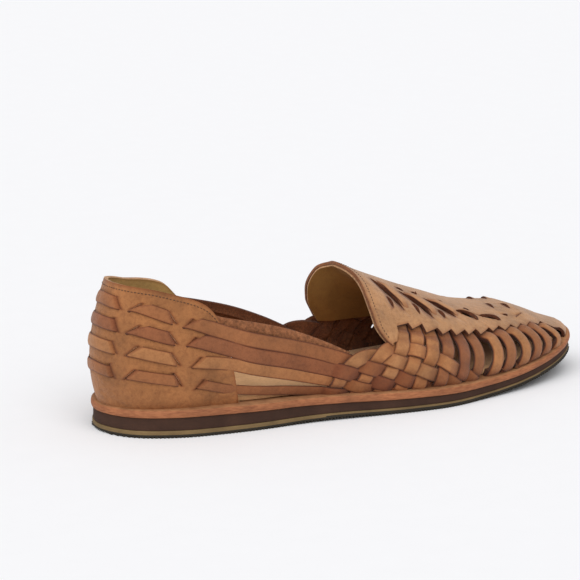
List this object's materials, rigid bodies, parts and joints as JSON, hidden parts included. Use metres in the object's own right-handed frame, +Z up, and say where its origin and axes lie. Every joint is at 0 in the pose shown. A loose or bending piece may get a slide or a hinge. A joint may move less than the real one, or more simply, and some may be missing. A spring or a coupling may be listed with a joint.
{
  "type": "huarache sandal",
  "caption": "Low slip-on huarache for a right foot: plaited leather straps and a slotted vamp on a flat layered sole.",
  "frame": {"origin": "on the floor, under the middle of the whole shoe's length and width", "axes": "+X towards the toe, +Z up, -Y towards the outer (lateral) side of the right foot"},
  "size_m": [0.2994, 0.1026, 0.0802],
  "materials": {
    "outsole": "gum rubber, matt",
    "midsole": "dark foam, matt",
    "welt": "tan leather board with a waxed edge",
    "insole": "light tan lining leather",
    "upper": "tan nubuck leather"
  },
  "bodies": {
    "root": {"outsole": "outsole", "midsole": "midsole", "welt": "welt", "insole": "insole", "upper": "upper"}
  },
  "joints": []
}
